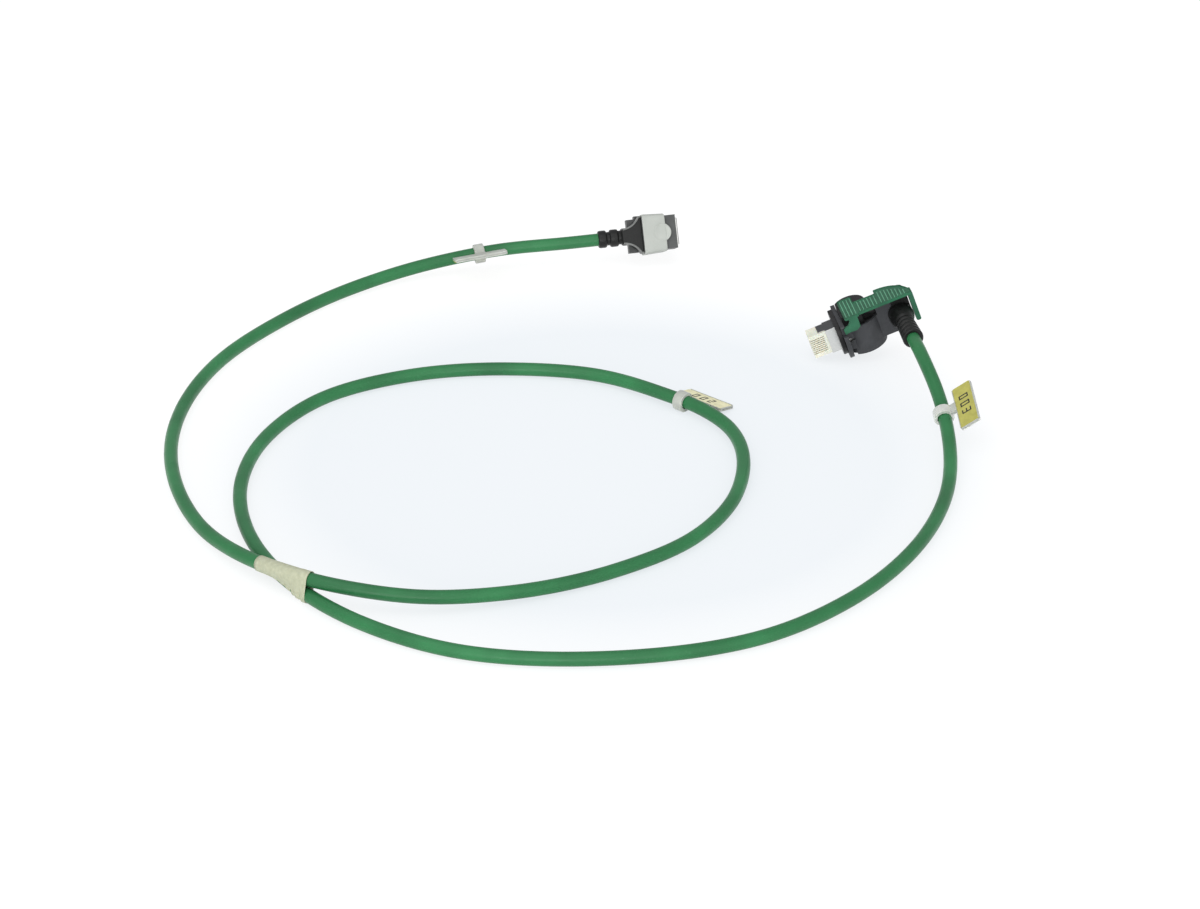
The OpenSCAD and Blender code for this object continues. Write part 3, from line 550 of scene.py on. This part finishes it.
def resampled(outline, count):
    """Even points along a closed outline, starting at its top."""
    n = len(outline)
    top = max(range(n), key=lambda i: outline[i][1])
    outline = outline[top:] + outline[:top]
    lengths = [math.dist(outline[i], outline[(i + 1) % n]) for i in range(n)]
    total, made, i, done = sum(lengths), [], 0, 0.0
    for k in range(count):
        want = total * k / count
        while done + lengths[i] < want:
            done += lengths[i]
            i += 1
        t = (want - done) / lengths[i]
        a, b = outline[i], outline[(i + 1) % n]
        made.append((a[0] + (b[0] - a[0]) * t, a[1] + (b[1] - a[1]) * t))
    return made


def tape_station(t, radius):
    """The tape's outline square to the upper strand, a share t along the tape."""
    first, last = TAPE_UPPER[0] * FINE, TAPE_UPPER[1] * FINE
    at = first + t * (last - first)
    i = int(at)
    centre = line[i].lerp(line[min(i + 1, len(line) - 1)], at - i)
    d = along(i)
    _, side, up = ring_frame(centre, d)
    lower = line[(TAPE_LOWER[0] - 2) * FINE:(TAPE_LOWER[1] + 1) * FINE]
    near = min(lower, key=lambda q: abs((q - centre).dot(d)))
    weight = min(1.0, max(0.0, (t - SPREAD_FROM) / SPREAD_OVER))
    weight = weight * weight * (3 - 2 * weight)
    bx, by = (near - centre).dot(side) * weight, (near - centre).dot(up) * weight
    ring = []
    for k in range(ARC_POINTS):
        a = 2 * math.pi * k / ARC_POINTS
        ring.append((round(radius * math.cos(a), 7), round(radius * math.sin(a), 7)))
        ring.append((round(bx + radius * math.cos(a), 7), round(by + radius * math.sin(a), 7)))
    points = [centre + u * side + v * up for u, v in resampled(hull_ring(ring), OUTLINE_POINTS)]
    return [Vector((p.x, p.y, max(p.z, 0.0001))) for p in points]


bm = bmesh.new()
rows = []
for s in range(STATIONS + 1):
    t = s / STATIONS
    radius = RADIUS + TAPE_T + (FOLD_T if t > FOLD_FROM else 0.0)
    rows.append([bm.verts.new(p) for p in tape_station(t, radius)])
join_rows(bm, rows)
tape = piece("tape_skin", bm, TAPE, replaces=("tape_wrap",), sharp=50)
thick = tape.modifiers.new("thick", "SOLIDIFY")
thick.thickness = 0.00015
thick.offset = 1

# ---------------------------------------------------------------- plug end

dressed("plug_housing", GREY, bevel=0.18)
dressed("inner_block", BLACK_AND_SHADE, bevel=0.15)
# the top cover's black is painted shade, standing for the shaded far wall of the grey housing
dressed("top_cover", BLACK_AND_SHADE, bevel=0.45)
dressed("front_gasket", BLACK_AND_SHADE, bevel=0.3)
dressed("plug_body", IVORY, bevel=0.25)
dressed("plug_latch", IVORY, "latch", bevel=0.12)

# the shield: its two side walls get a darker copy of the nickel, painted shade and painted dark reflection;
# its face and back keep the bright nickel
shield = dressed("plug_shield", NICKEL, bevel=0.1)
shield.data.materials.append(SHADED_NICKEL)
side = (PLUG.to_3x3() @ Vector((0, 0, 1))).normalized()
for polygon in shield.data.polygons:
    if abs(polygon.normal.dot(side)) > 0.9:
        polygon.material_index = 1

# ribbed boot: one turned skin whose rings have round rims, ending in the hood's cone
HOOD_R, HOOD_TOP = 5.9, 8.4
CROWN_R, CROWN_NEAR, CROWN_END = 5.7, 2.7, 6.9
RINGS, RING_FROM, RING_PITCH = 5, 17.2, 3.6
RING_R, RING_GROWTH, GROOVE_R = 4.4, 0.125, 3.6
bm = bmesh.new()
profile = [(-5.6, 0.1), (-5.3, 2.6), (-4.0, 4.4), (-2.0, 5.5), (0, HOOD_R), (9.8, 5.85), (11.4, 5.65),
           (13.0, 5.1), (14.6, 4.6), (15.8, 4.4)]
for k in range(RINGS):
    y, r = RING_FROM + RING_PITCH * k, RING_R + RING_GROWTH * k
    profile += [(y - 0.35, GROOVE_R), (y + 0.05, r - 0.35), (y + 0.5, r), (y + 1.5, r),
                (y + 1.95, r - 0.35), (y + 2.3, GROOVE_R)]
profile[-1] = (BOOT_END, 4.3)
profile += [(BOOT_END, 3.25), (13.0, 3.2), (12.9, 0.1)]
add_lathe(bm, profile, 44, "y")
piece("elbow_rings", bm, RUBBER, place=ELBOW, sharp=50)

bm = bmesh.new()
crown = [(-CROWN_R, -CROWN_R), (CROWN_NEAR, -CROWN_R), (CROWN_NEAR, CROWN_END), (-CROWN_R, CROWN_END)]
add_prism(bm, rounded(crown, [4.0, 0.3, 0.3, 0.8], 6), -1.0, HOOD_TOP)
piece("elbow_hood", bm, RUBBER, place=ELBOW, replaces=("elbow_boot",),
      bevel=0.9, sharp=50)

# ---------------------------------------------------------------- lock slider

STRAP_LOW, STRAP_TOP, NEAR = 10.0, 11.3, 11.4
HEAD_FRONT, HEAD_BACK, HEAD_FAR, HEAD_NEAR = -3.2, -10.2, -6.2, 12.4
NECK_FAR, GRIP_FROM, GRIP_R = -0.2, -20.9, 15.0
TAIL_FRONT, TAIL_BACK, TAIL_LOW, TAIL_FAR, TAIL_NEAR = -35.0, -37.3, -5.0, 5.9, 10.2
RIB_PITCH, RIB_HALF, RIB_SET = 1.65, 0.22, 1.4
centre_x = GRIP_FROM - 1.1
strap_end = TAIL_BACK + 0.4

arc = []
for k in range(21):
    x = GRIP_FROM + (strap_end - GRIP_FROM) * math.cos(math.pi / 2 * k / 20)
    arc.append((x, NEAR - math.sqrt(max(0.0, GRIP_R**2 - (x - centre_x) ** 2))))
corners = [(HEAD_FRONT, HEAD_FAR), (HEAD_FRONT, HEAD_NEAR), (HEAD_BACK, HEAD_NEAR),
           (HEAD_BACK - 0.2, NEAR), (strap_end, NEAR)]
radii = [1.5, 1.5, 0.4, 0.3, 0.5]
corners += arc + [(GRIP_FROM, NECK_FAR), (HEAD_BACK, NECK_FAR), (HEAD_BACK, HEAD_FAR)]
radii += [0.0] * (len(arc) - 1) + [1.3, 0.6, 0.8, 1.5]
bm = bmesh.new()
cap = add_prism(bm, rounded(corners, radii, 5), STRAP_LOW, STRAP_TOP)
# a narrow margin round the strap's top takes the lighter green, a painted edge highlight
highlight_margin = bmesh.ops.inset_region(bm, faces=[cap], thickness=0.5, depth=0)["faces"]
for face in highlight_margin:
    face.material_index = 1
bmesh.ops.inset_region(bm, faces=[cap], thickness=0.12, depth=-0.4)
strap = piece("slider_strap", bm, SLIDER, "slider", PLUG, replaces=("lock_slider",),
              bevel=0.12)
strap.data.materials.append(SLIDER_RIM_HIGHLIGHT)

bm = bmesh.new()
near = NEAR - 1.1
ribs = [(HEAD_FRONT - 1.2 - k * RIB_PITCH, HEAD_FAR + RIB_SET, near + 1) for k in range(4)]
ribs += [(HEAD_BACK - 1.6 - k * RIB_PITCH, NECK_FAR + RIB_SET, near) for k in range(6)]
# those on the grip get shorter, as its far edge is round
ribs += [(GRIP_FROM - RIB_SET - k * RIB_PITCH, near - 11 + 0.12 * k * k + 0.1 * k, near) for k in range(8)]
for x, y0, y1 in ribs:
    left, right = x - RIB_HALF, x + RIB_HALF
    outline = rounded([(left, y0), (right, y0), (right, y1), (left, y1)], 0.2, 3)
    add_prism(bm, outline, STRAP_TOP - 0.5, STRAP_TOP + 0.05)
# the ribs take the lighter green, a painted highlight on their tops
piece("slider_ribs", bm, SLIDER_RIB_HIGHLIGHT, "slider", PLUG, bevel=0.1)

bm = bmesh.new()
top = STRAP_TOP - 0.2
tail = [(TAIL_FRONT, TAIL_LOW), (TAIL_FRONT, top), (TAIL_BACK, top), (TAIL_BACK, TAIL_LOW)]
add_prism(bm, rounded(tail, [0.9, 0.2, 1.2, 0.9], 5), TAIL_FAR, TAIL_NEAR, "xzy")
foot = [(-9.3, 10.4), (-9.3, 4.8), (-7.3, 3.4), (-3.6, 3.6), (-1.4, 3.1), (-1.3, 6.3), (-3.7, 6.9),
        (-5.0, 8.6), (-5.0, 10.4)]
add_prism(bm, rounded(foot, [0, 0.9, 0.9, 0.6, 0.3, 0.6, 0.6, 0.6, 0], 4), 11.0, HEAD_NEAR - 0.05, "xzy")
piece("slider_foot", bm, SLIDER, "slider", PLUG, bevel=0.2)

# ---------------------------------------------------------------- socket end

dressed("socket_shell", SHELL, bevel=0.3)
dressed("socket_insert", BLACK_AND_SHADE, bevel=0.1)
dressed("socket_shield", NICKEL, bevel=0.08)

FISHTAIL_FROM, FISHTAIL_TO = 11.6, 21.4
FLARE_R, FLARE_NECK, FLARE_MOST = 10.0, 3.75, 9.2
bm = bmesh.new()
profile = [(0, 3.25), (0, 3.7), (0.4, 4.15), (1.0, 4.3), (3.3, 4.3), (3.9, 4.1), (4.2, 3.5), (4.4, 3.3),
           (5.5, 3.3), (5.7, 3.5), (6.0, 4.1), (6.6, 4.3), (9.1, 4.3), (9.7, 4.1), (10.0, 3.5), (10.2, 3.3),
           (11.2, 3.3), (11.5, 3.9), (12.2, 4.3), (21.3, 4.3), (21.3, 3.6), (0, 3.25)]
add_lathe(bm, profile, 44)
piece("boot_rings", bm, RUBBER, place=SOCKET, sharp=50)


def flare(x):
    """Half width of the fishtail hood."""
    reach = x - (FISHTAIL_FROM - 0.4)
    return min(FLARE_MOST, FLARE_NECK + FLARE_R - math.sqrt(max(0.0, FLARE_R**2 - reach * reach)))


bm = bmesh.new()
first, steps = FISHTAIL_FROM + 0.1, 16
xs = [first + (FISHTAIL_TO - first) * k / steps for k in range(steps + 1)]
upper = [(x, flare(x)) for x in xs]
lower = [(x, -flare(x)) for x in reversed(xs)]
add_prism(bm, upper + lower, -1.0, 5.85)
piece("boot_hood", bm, RUBBER, place=SOCKET, replaces=("socket_boot",), bevel=0.25)
# grey bands along the hood's top edges, painted highlights on the black rubber
bm = bmesh.new()
for s in (-1, 1):
    outer = [(x, s * flare(x)) for x in xs]
    inner = [(x + 0.35, s * (flare(x) - 0.75)) for x in reversed(xs[:-1])]
    inner = [(FISHTAIL_TO, s * (flare(FISHTAIL_TO) - 0.9))] + inner
    add_prism(bm, outer + inner, 5.4, 6.6)
piece("boot_highlight_rims", bm, RIM_HIGHLIGHT, place=SOCKET, bevel=0.22)

# lock collar: a band with round corners that narrows to the front, with a dished thumb tab
COLLAR_FROM, COLLAR_TO, COLLAR_EDGE = 21.7, 32.8, 0.4
COLLAR_IN_W, COLLAR_IN_T, COLLAR_WALL = 8.5, 7.55, 1.3

def collar_row(bm, x, w, t, corner):
    """A row of points round the collar at x, of half width w and half height t."""
    section = rounded([(-w, -t), (w, -t), (w, t), (-w, t)], corner, 6)
    return [bm.verts.new((x, y, z)) for y, z in section]

bm = bmesh.new()
rows = []
for x, grow in ((COLLAR_FROM, -0.35), (COLLAR_FROM + COLLAR_EDGE, 0.0),
                (COLLAR_TO - COLLAR_EDGE, -0.55), (COLLAR_TO, -0.9)):
    w, t = COLLAR_IN_W + COLLAR_WALL + grow, COLLAR_IN_T + COLLAR_WALL + grow * 0.35
    rows.append(collar_row(bm, x, w, t, 2.6))
for x in (COLLAR_TO, COLLAR_FROM):
    rows.append(collar_row(bm, x, COLLAR_IN_W, COLLAR_IN_T, 0.4))
rows.append(rows[0])
join_rows(bm, rows)
piece("collar_band", bm, COLLAR, "collar", SOCKET, replaces=("lock_collar",), sharp=32)

bm = bmesh.new()
TAB_R, TAB_OUT, TAB_SIDES = 4.5, 2.7, 40
tab_x = COLLAR_TO + TAB_OUT - TAB_R
# radius and height of the tab's rings, from its dish over the rim to its foot
dish = [(1.6, 8.3), (2.8, 8.45), (3.6, 8.72), (4.0, 8.85), (4.3, 8.8), (TAB_R, 8.55), (TAB_R, 7.6)]
middle = bm.verts.new((tab_x, 0, 8.25))
turns = [2 * math.pi * k / TAB_SIDES for k in range(TAB_SIDES)]
rings = [[bm.verts.new((tab_x + r * math.cos(a), r * math.sin(a), z)) for a in turns] for r, z in dish]
for k in range(TAB_SIDES):
    bm.faces.new((middle, rings[0][k], rings[0][(k + 1) % TAB_SIDES]))
join_rows(bm, rings)
bm.faces.new(rings[-1][::-1])
piece("collar_tab", bm, COLLAR, "collar", SOCKET, sharp=40)

# ---------------------------------------------------------------- stage and light

# strength of the floor's glow, its share in what is seen, and the middle of the cable's loop
GLOW, GLOW_SHARE = 1.08, 0.8
LOOP_MIDDLE = (-0.075, -0.150, 0)

bm = bmesh.new()
bmesh.ops.create_grid(bm, x_segments=1, y_segments=1, size=6)
mesh = bpy.data.meshes.new("floor")
bm.to_mesh(mesh)
bm.free()
floor = bpy.data.objects.new("floor", mesh)
floor.location = (0, 0, -0.0002)
bpy.context.scene.collection.objects.link(floor)
floor_mat, tree, bsdf = shader("floor_white", (0.93, 0.94, 0.95), 0.6)
tone = ramp_of(tree, noise_of(tree, 2, 2), [(0.3, (0.91, 0.93, 0.945)), (0.7, (0.95, 0.955, 0.96))])
tree.links.new(tone, bsdf.inputs["Base Color"])
# seen directly or mirrored, the floor is a white sweep with a faint, cool, darker area of painted shade
# inside the loop
coord = tree.nodes.new("ShaderNodeTexCoord")
reach = tree.nodes.new("ShaderNodeVectorMath")
reach.operation = "DISTANCE"
reach.inputs[1].default_value = LOOP_MIDDLE
tree.links.new(coord.outputs["Object"], reach.inputs[0])
shade_patch = ramp_of(tree, reach.outputs["Value"], [(0.13, (0.80, 0.838, 0.872)), (0.20, (1, 1, 1))])
glow = tree.nodes.new("ShaderNodeEmission")
tree.links.new(shade_patch, glow.inputs["Color"])
glow.inputs["Strength"].default_value = GLOW
rays = tree.nodes.new("ShaderNodeLightPath")
seen = rays.outputs["Is Camera Ray"]
for kind in ("Is Glossy Ray", "Is Transmission Ray"):
    either = tree.nodes.new("ShaderNodeMath")
    either.operation = "MAXIMUM"
    tree.links.new(seen, either.inputs[0])
    tree.links.new(rays.outputs[kind], either.inputs[1])
    seen = either.outputs[0]
share = tree.nodes.new("ShaderNodeMath")
share.operation = "MULTIPLY"
share.inputs[1].default_value = GLOW_SHARE
tree.links.new(seen, share.inputs[0])
blend = tree.nodes.new("ShaderNodeMixShader")
tree.links.new(share.outputs[0], blend.inputs["Fac"])
tree.links.new(bsdf.outputs[0], blend.inputs[1])
tree.links.new(glow.outputs[0], blend.inputs[2])
tree.links.new(blend.outputs[0], tree.nodes["Material Output"].inputs["Surface"])
mesh.materials.append(floor_mat)

# the room: brightest in front of the table, dim behind it
world = bpy.data.worlds.new("world")
bpy.context.scene.world = world
world.use_nodes = True
tree = world.node_tree
coord = tree.nodes.new("ShaderNodeTexCoord")
lean = tree.nodes.new("ShaderNodeVectorMath")
lean.operation = "DOT_PRODUCT"
lean.inputs[1].default_value = (0, -0.9, 0.3)
tree.links.new(coord.outputs["Generated"], lean.inputs[0])
room = ramp_of(tree, lean.outputs["Value"],
               [(0.0, (0.40, 0.40, 0.41)), (0.3, (0.48, 0.48, 0.49)), (0.85, (1, 1, 1))])
tree.links.new(room, tree.nodes["Background"].inputs["Color"])
tree.nodes["Background"].inputs["Strength"].default_value = 1.5


def softbox(name, location, target, size, power):
    """A square lamp that faces a target."""
    light = bpy.data.lights.new(name, "AREA")
    light.shape = "SQUARE"
    light.size = size
    light.energy = power
    obj = bpy.data.objects.new(name, light)
    obj.location = location
    obj.rotation_euler = (Vector(target) - Vector(location)).to_track_quat("-Z", "Y").to_euler()
    bpy.context.scene.collection.objects.link(obj)


softbox("key", (-0.5, -0.4, 1.6), (0, -0.1, 0), 1.6, 6)

# low light from the front, as a pale table throws it up on the cable's near side
fill = bpy.data.lights.new("fill", "SUN")
fill.energy = 1.3
fill.angle = rad(50)
fill_lamp = bpy.data.objects.new("fill", fill)
fill_lamp.rotation_euler = (rad(89), 0, rad(-8))
bpy.context.scene.collection.objects.link(fill_lamp)

bpy.context.scene.view_settings.view_transform = "Standard"
